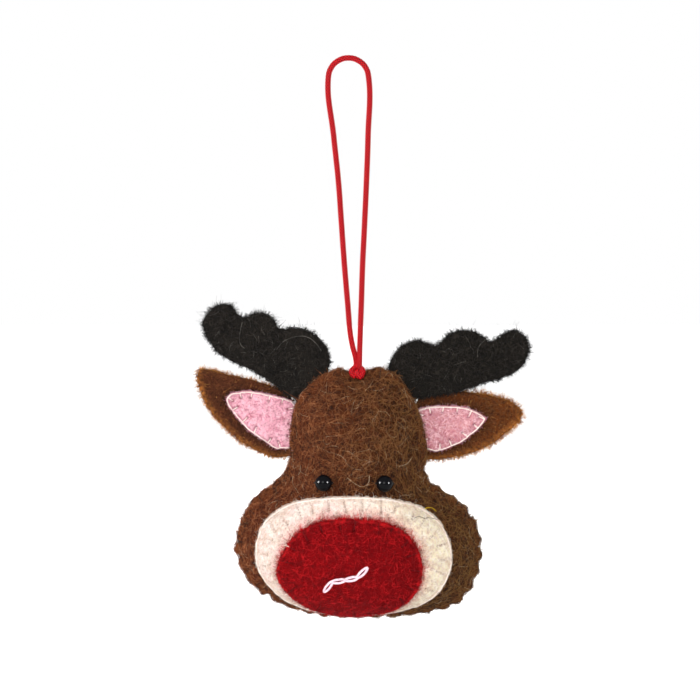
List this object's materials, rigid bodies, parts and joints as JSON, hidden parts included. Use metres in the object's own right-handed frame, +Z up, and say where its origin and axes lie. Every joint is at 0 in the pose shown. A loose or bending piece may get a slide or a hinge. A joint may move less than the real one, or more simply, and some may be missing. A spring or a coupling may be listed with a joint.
{
  "type": "felt christmas ornament",
  "caption": "Stuffed wool-felt reindeer head with felt antlers, ears, muzzle and red nose, bead eyes and a hanging loop of braided cord.",
  "frame": {"origin": "underside of the loop's crown, where the twig or hook that carries the ornament touches the cord", "axes": "+Z up along the hanging cord, the face looks along -Y, +X to the right of someone looking at the face"},
  "size_m": [0.1004, 0.0297, 0.1704],
  "materials": {
    "brown_felt": "matte",
    "cream_felt": "matte",
    "red_felt": "matte",
    "pink_felt": "matte",
    "black_felt": "matte",
    "filling": "matte",
    "brown_thread": "matte",
    "cream_thread": "matte",
    "red_thread": "matte",
    "dark_thread": "matte",
    "pink_yarn": "matte",
    "red_cord": "satin",
    "bead": "polished"
  },
  "bodies": {
    "loop": {"hanging_loop": "red_cord"},
    "knot": {"cord_knot": "red_cord"},
    "head": {"face_panel": "brown_felt", "back_panel": "brown_felt", "head_stuffing": "filling", "muzzle_patch": "cream_felt", "nose_patch": "red_felt", "mouth_stitch": "pink_yarn", "muzzle_thread": "cream_thread", "nose_thread": "red_thread", "eye_bead_left": "bead", "eye_thread_left": "dark_thread", "eye_bead_right": "bead", "eye_thread_right": "dark_thread", "ear_left": "brown_felt", "inner_ear_left": "pink_felt", "inner_ear_thread_left": "cream_thread", "ear_right": "brown_felt", "inner_ear_right": "pink_felt", "inner_ear_thread_right": "cream_thread", "antler_left": "black_felt", "antler_right": "black_felt", "crown_seam_thread": "brown_thread", "jaw_seam_thread": "brown_thread", "cord_tails": "red_cord"}
  },
  "joints": [
    {"name": "head_twist", "type": "hinge", "parent": "loop", "child": "knot", "pos_m": [0.00265, 0, -0.093], "axis": [0, 0, 1], "range_deg": [-180, 180]},
    {"name": "head_swing", "type": "hinge", "parent": "knot", "child": "head", "pos_m": [0.00265, 0, -0.093], "axis": [-1, 0, 0], "range_deg": [-40, 90]}
  ]
}
